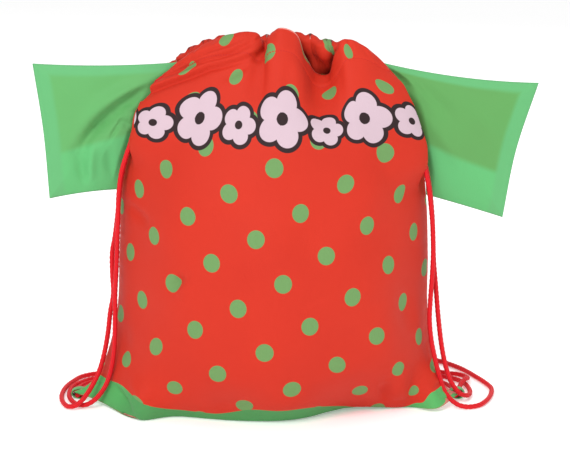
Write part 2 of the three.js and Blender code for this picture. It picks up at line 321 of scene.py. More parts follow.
def bump(tree, shader, height, strength, distance):
    node = tree.nodes.new("ShaderNodeBump")
    node.inputs["Strength"].default_value = strength
    node.inputs["Distance"].default_value = distance
    tree.links.new(height.socket, node.inputs["Height"])
    tree.links.new(node.outputs["Normal"], shader.inputs["Normal"])


def srgb(r, g, b):
    """A colour given as 0 to 255, as Blender's linear one."""
    def linear(v):
        v /= 255
        return v / 12.92 if v <= 0.04045 else ((v + 0.055) / 1.055) ** 2.4
    return (linear(r), linear(g), linear(b), 1.0)


RED = srgb(200, 46, 24)
RED_DARK = srgb(188, 39, 20)
DOT_GREEN = srgb(104, 145, 86)
BAND_GREEN = srgb(74, 142, 80)
EAR_GREEN = srgb(84, 170, 94)
SLEEVE_GREEN = srgb(92, 176, 108)
SLEEVE_OLIVE = srgb(96, 160, 92)
SLEEVE_EDGE = srgb(94, 170, 108)
CORD_RED = srgb(236, 22, 34)
CORD_SHADE = srgb(170, 8, 20)
LILAC = srgb(198, 174, 184)
OUTLINE = srgb(42, 26, 28)
INSIDE = srgb(206, 128, 116)
INSIDE_DARK = srgb(198, 116, 104)
# pale pink of the painted highlight along the mouth's rim
RIM_HIGHLIGHT = srgb(236, 150, 140)
THREAD = srgb(184, 38, 26)

DOT_RADIUS = 7.9
DOT_START = (0.0, 262.0)       # one dot's centre on the flat cloth
DOT_STEPS = ((24.2, -37.5), (-40.6, -22.1))    # from a dot to its two neighbours below it
BAND_HEIGHT = 42.0
MOTIF_LINE = 306.0             # height of the flowers' centres on the flat cloth
TUNNEL_HEIGHT = 21.0
STITCH = 3.2                   # from one stitch to the next
MOTIF_CELL = 92.0              # from one large flower to the next; a small one lies between
MOTIF_MIDDLE = 8.0             # how far right of the cloth's middle the row of flowers is centred
MOTIF_REACH = 161.0            # from the row's middle to its ends
FLOWERS = (                    # centre across and up, how far out the petals are centred, their radius
    (MOTIF_MIDDLE, MOTIF_LINE, 15.5, 11.0),
    (MOTIF_MIDDLE + MOTIF_CELL / 2, MOTIF_LINE - 5, 10.5, 7.8),
)
OUTLINE_WIDTH = 4.2
EYE_SHARE = 0.38               # the eye's radius, as a share of how far out the petals are centred
PRINT_BORDER = 0.25            # how soft a printed edge is
SHEEN = 0.15
THREAD_SCALE = 900
WEAVE_HEIGHT = 0.0004


def fabric_shader(name, roughness, sheen):
    material = bpy.data.materials.new(name)
    material.use_nodes = True
    tree = material.node_tree
    shader = tree.nodes["Principled BSDF"]
    shader.inputs["Roughness"].default_value = roughness
    shader.inputs["Sheen Weight"].default_value = sheen
    shader.inputs["Sheen Roughness"].default_value = 0.4
    shader.inputs["Specular IOR Level"].default_value = 0.25
    return material, tree, shader


def weave(tree, shader):
    """Fine plain weave with slight unevenness, from the object's own coordinates."""
    threads = noise(tree, THREAD_SCALE, 1, (1, 1, 3.5)) + noise(tree, THREAD_SCALE, 1, (3.5, 1, 1))
    bump(tree, shader, threads + noise(tree, 60, 3) * 0.8, 0.25, WEAVE_HEIGHT)


def blossom(across, up, petal_reach, petal_radius):
    """Distance from a five-petalled flower's outline, below 0 inside it."""
    angle = up.node("ARCTAN2", across)
    folded = angle.wrapped(math.pi / 5)
    radius = across.length(up)
    x = radius * folded.node("COSINE") - petal_reach
    y = radius * folded.node("SINE")
    return x.length(y) - petal_radius


def flowers(across, up):
    """Masks of the flowers' dark outline, pale petals and dark eye: large and small ones in turn."""
    outline = petals = eye = None
    for centre, line, reach, petal in FLOWERS:
        x = (across - centre).wrapped(MOTIF_CELL / 2)
        y = up - line
        edge = blossom(x, y, reach, petal)
        middle = x.length(y)
        masks = [
            edge.step_below(OUTLINE_WIDTH, PRINT_BORDER),
            edge.step_below(0.0, PRINT_BORDER),
            middle.step_below(reach * EYE_SHARE, PRINT_BORDER),
        ]
        if outline is None:
            outline, petals, eye = masks
        else:
            outline, petals, eye = outline.max(masks[0]), petals.max(masks[1]), eye.max(masks[2])
    inside = across.near(MOTIF_MIDDLE, MOTIF_REACH, 0.2)
    return outline * inside, petals * inside, eye * inside


def band_drift(across):
    """How far above its usual height the band's upper edge runs: the print isn't quite level."""
    left = across.near(-152.0, 14.0, 14.0) * 6.0 - across.near(-74.0, 42.0, 24.0) * 12.0
    right = across.step_above(60.0, 42.0) * 27.0 + across.near(128.0, 10.0, 10.0) * 8.0
    ear = across.step_above(161.0, 9.0) * 14.0
    return left - right + ear


def dot_mask(across, up):
    """1 on a dot and 0 between dots, which stand a little farther apart over the chest and throat."""
    chest = up.step_above(242.0, 26.0)
    throat = up.step_above(292.0, 36.0)
    x = across * (chest * -0.08 + 1.0) - DOT_START[0]
    y = up - chest * 0.8 - throat * 7.8 - DOT_START[1]
    (ax, ay), (bx, by) = DOT_STEPS
    cell = ax * by - ay * bx
    row = (x * (by / cell) - y * (bx / cell)).wrapped(0.5)
    place = (y * (ax / cell) - x * (ay / cell)).wrapped(0.5)
    return (row * ax + place * bx).length(row * ay + place * by).step_below(DOT_RADIUS, 0.3)


def printed_cloth(name, with_flowers, top):
    """Red cloth with its dots and green band; top is the mouth's edge, where the hem is turned in."""
    material, tree, shader = fabric_shader(name, 0.7, 0.02)
    across, up = cloth_axes(tree)
    colour = colour_mix(tree, noise(tree, 14, 3), RED, RED_DARK)
    colour = colour_mix(tree, dot_mask(across, up), colour, DOT_GREEN)
    band = colour_mix(tree, across.near(-8.0, 142.0, 22.0), EAR_GREEN, BAND_GREEN)
    colour = colour_mix(tree, (up - band_drift(across)).step_below(BAND_HEIGHT, 0.3), colour, band)
    if with_flowers:
        outline, petals, eye = flowers(across, up)
        colour = colour_mix(tree, outline, colour, OUTLINE)
        colour = colour_mix(tree, petals, colour, LILAC)
        colour = colour_mix(tree, eye, colour, OUTLINE)
    stitch_line = up.near(top - TUNNEL_HEIGHT, 0.45, 0.12)
    dashes = across.wrapped(STITCH / 2).abs().step_below(STITCH * 0.36, 0.15)
    colour = colour_mix(tree, stitch_line * dashes, colour, THREAD)
    if with_flowers:
        # A painted highlight: a pale line along the mouth's rim over the hump, where its edge catches
        # the light.
        rim = up.near(top + 0.5, 1.6, 0.5) * across.near(26.0, 22.0, 5.0)
        colour = colour_mix(tree, rim, colour, RIM_HIGHLIGHT)
    tree.links.new(colour, shader.inputs["Base Color"])
    weave(tree, shader)
    return material


def plain_cloth(name, light, dark, roughness):
    material, tree, shader = fabric_shader(name, roughness, SHEEN)
    tree.links.new(colour_mix(tree, noise(tree, 25, 3), light, dark), shader.inputs["Base Color"])
    weave(tree, shader)
    return material


SLEEVE_TALL = 115.0            # height of a sleeve
# The duller patch over the stiffening sheet: its heights, and how far it stays in from the outer edge.
SHEET_BOTTOM, SHEET_TOP, SHEET_OUTER = 36.0, 106.0, 14.0
SHEET_BORDER = 2.8


def sleeve_cloth(name, middle_a, middle_b):
    """Green cloth whose middle is duller, where the stiffening sheet behind it shows through."""
    material, tree, shader = fabric_shader(name, 0.6, SHEEN)
    from_outer, height = cloth_axes(tree)
    drift = noise(tree, 14, 2) * 5.0 - 2.5
    below = (height + drift).step_below(SHEET_BOTTOM, 3.0)
    from_top = height * -1.0 + SLEEVE_TALL
    beside = (from_top + drift * 0.5).step_below(SLEEVE_TALL - SHEET_TOP, SHEET_BORDER)
    beside = beside.max((from_outer + drift * 0.5).step_below(SHEET_OUTER, SHEET_BORDER))
    middle = colour_mix(tree, noise(tree, 10, 3), middle_a, middle_b)
    colour = colour_mix(tree, below, middle, SLEEVE_GREEN)
    colour = colour_mix(tree, beside, colour, SLEEVE_EDGE)
    tree.links.new(colour, shader.inputs["Base Color"])
    weave(tree, shader)
    return material


def cord_material():
    material, tree, shader = fabric_shader("cord_braid", 0.65, 0.05)
    around, lengthways = cloth_axes(tree)
    # The braid's two reds, CORD_RED and the darker CORD_SHADE, alternate over its strands: painted shade
    # that shows the braid's texture.
    one_way = (lengthways * BRAID_ASPECT + around).node("SINE")
    other_way = (lengthways * BRAID_ASPECT - around).node("SINE")
    colour = colour_mix(tree, (one_way * other_way) * 0.5 + 0.5, CORD_SHADE, CORD_RED)
    tree.links.new(colour, shader.inputs["Base Color"])
    return material


# --- cords -----------------------------------------------------------------------------------------

CORD_DIAMETER = 4.6 * MM
FLOOR_Z = 2.5                  # height of the middle of a cord that lies on the floor


def points_of(side, floor):
    """A route down the bag's side and then over the floor, where a point without a height lies on it."""
    lying = [(x, y, z[0] if z else FLOOR_Z) for x, y, *z in floor]
    return np.array([*side, *lying]) * MM


# Each route starts where the cord leaves its tunnel and ends at its knot.
ROUTES = {
    "left_cord_back_strand": points_of([
        (-107.7, 14.3, 284.6), (-110.1, 13.5, 282.1), (-116.2, 12, 278.4), (-123.5, 9.5, 274),
        (-126.2, 3, 266), (-129.5, -1, 255), (-135, -1.5, 236), (-141, -3, 216), (-144.8, -4.5, 198),
        (-147, -6, 175), (-150, -7.5, 152), (-152.5, -8.5, 138), (-152.6, -10, 120), (-152, -11, 101),
        (-155, -11.5, 84), (-157.2, -12.5, 66), (-161, -15, 46), (-165.5, -18, 31), (-170.8, -22, 20.5),
        (-176.2, -27.5, 12.6), (-180.5, -31, 7.9),
    ], [
        (-186, -33, 4.2), (-192.3, -29.5, 2.6), (-197.7, -18.5), (-201, -2), (-201.3, 16), (-199, 33),
        (-194.5, 48), (-189.3, 60), (-182, 67), (-172, 72), (-150, 80), (-125, 92), (-100, 104),
        (-75, 111), (-52, 110), (-38, 101), (-36, 88), (-46, 77.5), (-70, 71), (-100, 66), (-130, 57),
        (-150, 51), (-163, 45.5), (-173, 39.5), (-179.5, 32.5), (-183, 25), (-183.2, 18, 4),
        (-182.7, 10.6, 5),
    ]),
    "left_cord_front_strand": points_of([
        (-107.7, 3.9, 284.7), (-109.8, 5.6, 282.4), (-122.5, -6, 270), (-127, -8, 258),
        (-131.5, -8.5, 244), (-138, -10.5, 227), (-142.8, -12, 211), (-145.4, -13.5, 192),
        (-146.4, -15.5, 168), (-147.3, -17, 148), (-148.3, -18.5, 126), (-149.8, -20.5, 101),
        (-149.8, -22.5, 84), (-150.4, -24.5, 64), (-152, -25.5, 46), (-155.5, -26, 30),
        (-159.5, -26.5, 20), (-165.5, -27.5, 11.5), (-171, -28, 6.5),
    ], [
        (-177, -27.5, 3.4), (-184, -24), (-190, -14.5), (-194.2, 0), (-195.3, 16), (-194, 31),
        (-187, 43.5), (-179.5, 52.5), (-170, 58.5), (-150, 67), (-130, 77), (-112, 89), (-96, 97.5),
        (-81, 98), (-70.5, 91), (-70.5, 81.5), (-80.5, 76.5), (-100, 73.5), (-130, 66), (-150, 58.5),
        (-166, 52), (-177, 45), (-184.5, 36.5), (-188, 27), (-189, 18, 4), (-188.3, 10.6, 5),
    ]),
    "right_cord_front_strand": points_of([
        (95.3, 3.7, 288.7), (97.5, 5.4, 286.6), (106, -5, 270), (109.5, -8, 258), (114, -8.5, 245),
        (118.5, -9.5, 228), (122.8, -11.5, 212), (126, -12.5, 196), (128.2, -13.5, 178),
        (129.8, -14.5, 160), (130.3, -16, 142), (129.6, -18, 120), (128.2, -20, 98), (127.6, -21.5, 80),
        (129.3, -22, 62), (133.5, -21, 42), (138, -19, 25), (142, -20, 14), (148, -25, 7),
    ], [
        (155, -29, 3.4), (163, -30.5), (172, -26), (180.5, -11.5), (186.5, 9), (188, 26), (183.5, 44),
        (177, 61), (167.5, 83), (157, 99.5), (146, 112), (128, 124), (106, 130), (90, 124),
        (87, 111.5), (99, 102.5), (116, 95), (130, 87), (142, 78.5), (151, 72), (159.5, 69.5),
        (165.5, 64.5), (168.6, 56, 3.2), (168.2, 46.5, 5.4), (165.6, 37, 7.9), (161.5, 27.5, 7.2),
        (158.6, 19, 5.4), (157.8, 10.6, 5),
    ]),
    "right_cord_back_strand": points_of([
        (95.3, 14.4, 288.7), (97.7, 13.7, 286.3), (105, 9, 276), (108, 3, 268), (112.7, -1, 255),
        (118, -1.5, 238), (123.2, -3, 215), (127, -4.5, 195), (129.6, -5.5, 172), (130.6, -7, 150),
        (131.6, -9, 128), (133.8, -10.5, 104), (136.2, -11.5, 78), (139.6, -12.5, 52), (144, -13, 32),
        (149, -13.5, 19), (156, -14, 10), (162.5, -8, 6),
    ], [
        (166.8, 6, 3.4), (167.8, 22), (164.5, 41), (156.5, 54.5), (143, 63), (125, 70.5), (100, 81),
        (75, 93), (50, 102), (28, 102), (14, 92), (16, 79), (30, 72), (60, 68), (95, 60), (120, 54),
        (137, 47.5), (146.5, 40), (151.2, 30), (152.4, 19, 4), (152.2, 10.6, 5),
    ]),
}

BRAID_SIDES = 16
BRAID_STEP = 1.1 * MM
BRAID_PITCH = 7.0 * MM         # a strand's length for one turn round the cord
BRAID_DEPTH = 0.26 * MM
BRAID_STRANDS = 4              # in each direction
BRAID_ASPECT = 2.4             # what one unit of the cord's lengthways coordinate is to one round it


def braided_tube(name, path, material, radius=CORD_DIAMETER / 2):
    """A tube round the points of path whose surface is a braid of strands that cross in diamonds."""
    tangent = np.gradient(path, axis=0)
    tangent /= np.linalg.norm(tangent, axis=1, keepdims=True)
    side = np.cross(tangent[0], (0, 0, 1.0))
    side /= np.linalg.norm(side)
    frames = []
    for t in tangent:
        side = side - t * side.dot(t)
        side /= np.linalg.norm(side)
        frames.append((side, np.cross(t, side)))
    angle = np.linspace(0, 2 * math.pi, BRAID_SIDES, endpoint=False)
    turn = 2 * math.pi * run_length(path)[:, None] / BRAID_PITCH
    strands = np.sin(BRAID_STRANDS * (angle[None] + turn)) * np.sin(BRAID_STRANDS * (angle[None] - turn))
    r = radius - BRAID_DEPTH + BRAID_DEPTH * strands
    normal = np.array([f[0] for f in frames])[:, None]
    binormal = np.array([f[1] for f in frames])[:, None]
    ring = np.cos(angle)[None, :, None] * normal + np.sin(angle)[None, :, None] * binormal
    points = path[:, None] + r[..., None] * ring
    flat = (BRAID_STRANDS * angle[None], BRAID_STRANDS * turn / BRAID_ASPECT)
    uv = np.stack(np.broadcast_arrays(*flat), axis=-1)
    return grid_mesh(name, points, uv, material, wrap=True, closed_ends=True)


def make_strands(material):
    for name, route in ROUTES.items():
        path, length = along(route, BRAID_STEP)
        piece = braided_tube(f"{name}_cord", path, material)
        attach(piece, "bag")
        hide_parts(name)


# Where the cords inside the hems start and end.
HEM_CORD_ENDS = {
    ("front", "left"): ((-107.7, 3.9, 284.7), (91.4, 3.8, 284.9)),
    ("front", "right"): ((-111.6, 3.9, 288.3), (95.3, 3.7, 288.7)),
    ("back", "left"): ((-107.7, 14.3, 284.6), (91.5, 14.4, 284.9)),
    ("back", "right"): ((-111.7, 14.3, 288.3), (95.3, 14.4, 288.7)),
}
# Round one side of the mouth each cord crosses from the front tunnel to the back one.
BRIDGES = {
    "left": [
        (91.4, 3.8, 284.9), (93.6, 5.5, 282.8), (95.3, 10.8, 281.1), (93.9, 13.7, 282.5),
        (91.5, 14.4, 284.9),
    ],
    "right": [
        (-111.6, 3.9, 288.3), (-113.7, 5.6, 286.1), (-115.4, 10.8, 284.4), (-114, 13.5, 285.8),
        (-111.7, 14.3, 288.3),
    ],
}


def make_bridges(material):
    for side, points in BRIDGES.items():
        path, _ = along(np.array(points) * MM, BRAID_STEP)
        piece = braided_tube(f"{side}_cord_crossing", path, material)
        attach(piece, "bag")
        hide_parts(f"{side}_cord_bridge")


KNOT_REACH = np.array([3.7, 4.2, 1.8]) * MM
KNOT_POINTS = 160
KNOT_RADIUS = CORD_DIAMETER / 2 - 0.2 * MM      # the cord is pinched in its knot
TREFOIL_REACH = 2.6            # what a trefoil's coordinates are divided by, to reach about 1
LOOP_WALL = 0.8 * MM


def make_knot(side, material):
    """An overhand knot, pulled tight, in the corner's loop."""
    low, high = (np.array(corner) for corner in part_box(f"{side}_cord_knot"))
    t = np.linspace(0, 2 * math.pi, KNOT_POINTS)
    x = (np.sin(t) + 2 * np.sin(2 * t)) / TREFOIL_REACH
    y = (np.cos(t) - 2 * np.cos(2 * t)) / TREFOIL_REACH
    path = (low + high) / 2 + np.stack([x, y, -np.sin(3 * t)], axis=1) * KNOT_REACH
    piece = braided_tube(f"{side}_knot", path, material, KNOT_RADIUS)
    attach(piece, "bag")
    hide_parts(f"{side}_cord_knot")
    return piece


def make_loop(side, material, inner_material):
    """The tape sewn into a bottom corner as a loop that the cord's ends are tied in."""
    low, high = (np.array(corner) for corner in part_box(f"{side}_corner_loop"))
    centre, reach = (low + high) / 2, (high - low) / 2
    around = np.linspace(0, 2 * math.pi, 48, endpoint=False)
    rows = np.linspace(-1, 1, 9)
    a, r = np.meshgrid(around, rows)
    width = reach[0] * (1 + 0.03 * np.sin(2 * a + 3 * r))
    points = np.stack([
        centre[0] + width * np.cos(a),
        centre[1] + reach[1] * r,
        centre[2] + reach[2] * np.sin(a) * (1 - 0.04 * np.cos(3 * a)),
    ], axis=-1)
    uv = np.stack([a * reach[0] / MM, reach[1] * r / MM], axis=-1)
    piece = grid_mesh(f"{side}_corner_tape", points[:, ::-1], uv[:, ::-1], material, wrap=True)
    solidify(piece, LOOP_WALL, inner_material)
    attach(piece, "bag")
    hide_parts(f"{side}_corner_loop")


make_camera()
make_studio()
cord = cord_material()
knots = {side: make_knot(side, cord) for side in ("left", "right")}
make_strands(cord)
make_bridges(cord)


# --- the bag's body ----------------------------------------------------------------------------------

FLAT_WIDTH = 380.0
HALF_FLAT = FLAT_WIDTH / 2
HALF_CLOTH = 0.6               # the lowest that the cloth's outside gets
PANEL_CLOTH = 0.45 * MM
TURNED = {"front": 21.0, "back": 50.0}    # how much cloth is turned in at the mouth

# The panels' sides and middles, from the bottom seam up through the neck: x, y and height.
LEFT_SEAM = [
    (-190, -4, 8), (-179, -3, 13), (-167, -2, 26), (-157, 0, 50), (-149, 3, 90), (-147, 5, 135),
    (-143.5, 7, 190), (-133, 8, 240), (-118, 9, 275),
]
RIGHT_SEAM = [
    (156, -4, 8), (147, -3, 13), (138, -2, 26), (131, 0, 50), (127, 3, 90), (127, 5, 135),
    (124.5, 7, 190), (117, 8, 240), (103, 9, 275),
]
FRONT_MIDDLE = [
    (-14, -44, -8), (-13, -58, -6), (-11, -80, 16), (-9, -97, 48), (-9, -103, 90), (-9, -100, 135),
    (-9, -86, 190), (-9, -66, 240), (-9, -49, 275),
]
BACK_MIDDLE = [
    (-14, -44, -8), (-12, -8, -8), (-10, 44, -8), (-9, 84, 24), (-9, 103, 80), (-9, 99, 130),
    (-9, 86, 190), (-9, 66, 240), (-9, 49, 275),
]
NECK_ARC = math.radians(72)    # half the arc of the panel's cross-section, at the neck and at the bottom
EAR_ARC = math.radians(35)
NECK_ROW = 7 / 8               # the rails' parameter at z = 240, where the gathers start

# The mouth's top edge from the left seam to the right: how far across the flat cloth, and where it is.
FRONT_HEM = [
    (0.00, -106, 4, 293), (0.07, -95, 0, 304), (0.16, -76, -3, 316), (0.24, -59, -6, 326),
    (0.32, -42, -10, 333), (0.39, -26, -11, 334), (0.43, -18, -6, 326), (0.455, -14, -6, 325),
    (0.48, -10, -12, 334), (0.52, -2, -16, 338), (0.555, 7, -15, 335), (0.58, 14, -11, 325),
    (0.605, 20, -5, 310), (0.63, 28, 0, 298), (0.655, 36, 0, 297), (0.70, 43, -6, 309),
    (0.76, 49, -12, 327), (0.83, 58, -11, 327), (0.90, 73, -7, 318), (0.95, 87, -2, 305),
    (1.00, 98, 4, 292),
]
BACK_HEM = [
    (0.00, -106, 16, 294), (0.12, -95, 18, 307), (0.25, -74, 17, 321), (0.40, -44, 15, 328),
    (0.50, -18, 13, 328), (0.60, 6, 9, 330), (0.70, 26, 6, 332), (0.80, 45, 6, 329),
    (0.88, 64, 12, 317), (0.95, 82, 17, 305), (1.00, 98, 16, 292),
]


def body_surface(middle, across, rows):
    """The filled panel: a (rows, columns, 3) array, in millimetres, as the CAD's panels are made."""
    left = catmull(LEFT_SEAM, rows)[:, None]
    right = catmull(RIGHT_SEAM, rows)[:, None]
    crown = catmull(middle, rows)[:, None]
    arc = (EAR_ARC + (NECK_ARC - EAR_ARC) * smooth(rows, 0, 0.4))[:, None]
    angle = (2 * across[None] - 1) * arc
    centre = (left + right) / 2
    chord = (right - left) / 2 * (np.sin(angle) / np.sin(arc))[..., None]
    bulge = (np.cos(angle) - np.cos(arc)) / (1 - np.cos(arc))
    points = centre + chord + (crown - centre) * bulge[..., None]
    points[..., 2] = np.maximum(points[..., 2], HALF_CLOTH)
    return points


def hem_edge(table, across):
    table = np.array(table, float)
    fine = catmull(table, np.linspace(0, 1, 400))
    return np.stack([np.interp(across, fine[:, 0], fine[:, k]) for k in (1, 2, 3)], axis=1)


ROWS_BODY = 120
ROWS_NECK = 64
COLUMNS = 220
HEM_ROWS = 20
NECK_FOLLOWS = 0.34            # the share of the neck in which the cloth keeps the body's direction
NECK_LEANS = 0.62              # where it has turned inwards, as a share from the shoulders to the mouth


def segment_distance(p, q, a, b):
    """Distance from the segment a-b, and how far along it, from 0 to 1."""
    a, b = np.array(a, float), np.array(b, float)
    d = b - a
    t = np.clip(((p - a[0]) * d[0] + (q - a[1]) * d[1]) / d.dot(d), 0, 1)
    return np.hypot(p - a[0] - t * d[0], q - a[1] - t * d[1]), t


def crease(p, q, a, b, width, depth):
    """A soft valley (depth below 0) or ridge along a-b that fades out towards both ends."""
    distance, t = segment_distance(p, q, a, b)
    return depth * np.sin(np.pi * np.clip(t, 0.06, 0.94)) * bell(distance, 0, width)


def panel_grid(middle, hem_table):
    """The panel from the bottom seam to the mouth's edge, with its flat coordinates."""
    across = np.linspace(0, 1, COLUMNS)
    rows = np.linspace(0, NECK_ROW, ROWS_BODY)
    body = body_surface(middle, across, rows)
    shoulders = body_surface(middle, across, np.array([1.0]))[0]
    hem = hem_edge(hem_table, across)
    start = body[-1]
    rise = body[-1] - body[-5]
    rise /= np.linalg.norm(rise, axis=1, keepdims=True)
    reach = np.linalg.norm(hem - start, axis=1, keepdims=True)
    first = start + rise * reach * NECK_FOLLOWS
    second = hem * NECK_LEANS + shoulders * (1 - NECK_LEANS)
    t = np.linspace(0, 1, ROWS_NECK + 1)[1:, None, None]
    u = 1 - t
    neck = u**3 * start + 3 * u**2 * t * first + 3 * u * t**2 * second + t**3 * hem
    points = np.concatenate([body, neck])
    middle_column = points[:, COLUMNS // 2]
    height = run_length(middle_column)
    p = np.broadcast_to(((across - 0.5) * FLAT_WIDTH)[None], points.shape[:2])
    q = np.broadcast_to(height[:, None], points.shape[:2])
    return points, np.array(p), np.array(q)


WRINKLES = 26                  # how many broad waves are added up
WRINKLE_WAVES = (45, 120)      # the shortest and the longest
WRINKLE_SLOPE = 0.20 / 60      # a wave's height for each millimetre of its length
PUCKER_WAVE = 13.0


def from_seams(p):
    """Distance in flat cloth from the nearer side seam."""
    return HALF_FLAT - np.abs(p)


def wrinkles(p, q, seed):
    """Displacement in millimetres: broad unevenness everywhere, and puckers at the side seams."""
    rng = np.random.default_rng(seed)
    total = np.zeros_like(p)
    for _ in range(WRINKLES):
        angle = rng.uniform(0, math.pi)
        wave = rng.uniform(*WRINKLE_WAVES)
        phase = rng.uniform(0, 2 * math.pi)
        place = p * math.cos(angle) + q * math.sin(angle)
        total += WRINKLE_SLOPE * wave * np.sin(2 * math.pi * place / wave + phase)
    near_seam = bell(from_seams(p), 0, 9.0)
    total += near_seam * 0.9 * np.sin(2 * math.pi * q / PUCKER_WAVE + 1.5 * np.sin(q / 31.0))
    calm = smooth(from_seams(p), 0, 14) * smooth(q, 12, 50)
    puckers = near_seam * 0.4 * np.sin(2 * math.pi * q / PUCKER_WAVE)
    return np.where(near_seam > 0.5, total * 0.6, total * calm + puckers)


def pleat(x, z, line, width, depth):
    """A fold that lies over the cloth below line: a step along it that fades out upwards."""
    nearest = np.full_like(x, 1e9)
    signed = np.zeros_like(x)
    share = np.zeros_like(x)
    for k, (a, b) in enumerate(zip(line, line[1:])):
        distance, t = segment_distance(x, z, a, b)
        side = (b[0] - a[0]) * (z - a[1]) - (b[1] - a[1]) * (x - a[0])
        closer = distance < nearest
        nearest = np.where(closer, distance, nearest)
        signed = np.where(closer, np.sign(side) * distance, signed)
        share = np.where(closer, (k + t) / (len(line) - 1), share)
    ends = np.sin(np.pi * np.clip(share, 0.03, 0.97)) ** 0.6
    edge = 1 / (1 + np.exp(np.clip(-signed / 0.7, -40, 40)))
    tuck = 0.55 * (1 - edge) * bell(signed, -1.5, 2.6)
    return depth * ends * (edge * np.exp(-np.clip(signed, 0, None) / width) - tuck)


# Folds as seen from the front: x and height of both ends, then width and depth, below 0 for a valley.
FRONT_CREASES = [
    ((-59, 294), (-18, 316), 4.0, -2.6), ((-17, 327), (-16, 316), 2.6, -5.0),
    ((-16, 320), (-26, 308), 3.4, -3.2), ((48, 326), (41, 300), 3.0, 2.2),
    ((30, 298), (26, 272), 8.0, -2.8), ((5, 313), (0, 288), 6.0, -1.8),
    ((-8, 326), (-13, 300), 5.0, 1.6), ((62, 318), (74, 292), 9.0, 1.6),
    ((12, 202), (39, 116), 22.0, -3.4), ((46, 208), (-13, 93), 20.0, -2.6),
    ((78, 232), (60, 157), 18.0, 2.8), ((75, 111), (96, 53), 14.0, 3.2),
    ((100, 118), (112, 70), 8.0, -2.6), ((-136, 181), (-117, 171), 4.5, -3.4),
    ((-137, 190), (-119, 183), 4.0, 1.6), ((-85, 135), (-97, 121), 4.0, -4.6),
    ((-79, 130), (-92, 113), 5.0, 2.2), ((-158, 24), (-134, 2), 6.0, -11.0),
    ((-116, 17), (-138, 36), 5.5, 3.4), ((-146, 40), (-140, 80), 6.0, -2.0),
    ((103, 44), (101, 8), 9.0, 5.0), ((87, 34), (88, 8), 5.0, -3.6),
    ((-60, 250), (-100, 150), 26.0, 2.2), ((132, 24), (150, 8), 6.0, -3.4),
]
# Cloth folded over itself: x and height along the fold's edge, then how wide and high it stands.
FRONT_PLEATS = [
    ([(-119, 273), (-98, 286), (-66, 305), (-19, 320)], 9.0, 6.6),
    ([(-106, 289), (-82, 304), (-54, 315), (-27, 328)], 6.0, 5.0),
    ([(-95, 302), (-69, 314), (-38, 329)], 5.0, 3.6),
]
BACK_CREASES = [
    ((-80, 318), (-96, 262), 5.0, -3.0), ((-46, 326), (-54, 262), 6.0, -3.2),
    ((-12, 328), (-16, 250), 7.0, -3.2), ((22, 328), (34, 262), 6.0, -3.0),
    ((56, 320), (74, 258), 5.0, -3.0), ((-30, 327), (-34, 280), 4.0, 2.4),
    ((5, 328), (10, 272), 4.0, 2.4), ((-90, 120), (-20, 150), 14.0, -3.0),
    ((40, 230), (90, 120), 24.0, -3.0), ((-70, 220), (-40, 110), 22.0, 2.4),
    ((-140, 40), (-104, 70), 9.0, -4.5), ((124, 40), (96, 72), 9.0, -4.5),
    ((36, 345), (34, 262), 15.0, -15.0),
]


def overhang(points):
    """How far to the right the front's cloth moves; at both shoulders it hangs over the cords."""
    steps = np.linalg.norm(np.diff(points, axis=1), axis=2)
    from_left = np.concatenate([np.zeros((len(points), 1)), np.cumsum(steps, axis=1)], axis=1)
    from_right = from_left[:, -1:] - from_left
    z = points[..., 2]

    def flap(from_seam, low, high):
        beside = smooth(from_seam, 14, 23) * smooth(from_seam, 68, 25)
        return beside * smooth(z, low, high) * smooth(z, 306, 286)

    left, right = flap(from_left, 212, 240), flap(from_right, 192, 220)
    shoulder = bell(z, 268, 17)
    chest = bell(z, 243, 24)
    waist = 2.2 * bell(z, 196, 22) * smooth(from_left, 70, 20)
    return (11.5 + 3.5 * shoulder + 6.0 * chest) * right - (12.0 + 5.5 * shoulder) * left - waist


def settle(points):
    """Part of the base stands back and up, as the bag isn't quite full, and its corners sag forward."""
    x, y, z = points[..., 0], points[..., 1], points[..., 2]
    low = smooth(z, 60, 2)
    raised = bell(x, 56, 36) * low * smooth(y, 30, -25)
    corners = (31 * bell(x, -130, 24) + 25 * bell(x, 135, 17)) * low * smooth(y, 12, -8)
    points = points.copy()
    points[..., 1] += 18 * raised - corners
    points[..., 2] += 2.6 * raised
    return points


HEM_CORD_OFFSET = 2.7          # each cord's distance from the middle of the tunnel
HEM_CORD_DEPTH = 2.95          # from the cloth's outside to the cord's middle
SMOOTHING = 9                  # points that are averaged, as the cord can't follow every gather


def row_at(height, points, outward, q):
    """The panel's line at a height on the flat cloth, and its outward normals."""
    row = np.interp(height, q[:, 0], np.arange(len(q)))
    low, part = int(row), row - int(row)
    above = min(low + 1, len(q) - 1)
    return points[low] * (1 - part) + points[above] * part, outward[low]


def hem_cords(side, points, outward, top, q, material):
    """The two cords inside the hem, from one end of the tunnel to the other."""
    for cord_side, offset in (("left", HEM_CORD_OFFSET), ("right", -HEM_CORD_OFFSET)):
        cloth, normals = row_at(top - TUNNEL_HEIGHT / 2 - offset, points, outward, q)
        line = cloth - normals * HEM_CORD_DEPTH
        window = np.ones(SMOOTHING) / SMOOTHING
        inner = np.stack([np.convolve(line[:, k], window, "same") for k in range(3)], axis=1)
        proud = np.maximum(0, ((inner - line) * normals).sum(axis=1, keepdims=True))
        inner = (inner - normals * proud)[10:-10:3]
        start, end = HEM_CORD_ENDS[side, cord_side]
        path, _ = along(np.concatenate([[start], inner, [end]]) * MM, BRAID_STEP)
        piece = braided_tube(f"{cord_side}_cord_inside_{side}_hem", path, material)
        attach(piece, f"{side}_mouth_lip")
        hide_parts(f"{cord_side}_cord_in_{side}_tunnel")


# How high the mouth's gathers are, and from how far below its edge they grow to their full height.
GATHERS = {"front": (0.5, 24, 2), "back": (1.7, 80, 6)}


def gathers(p):
    """The gathers' waves across the flat cloth, uneven in width."""
    return (np.sin(2 * math.pi * p / 23.0 + 1.4 * np.sin(p / 27.0))
            + 0.35 * np.sin(2 * math.pi * p / 13.3 + 1.0))


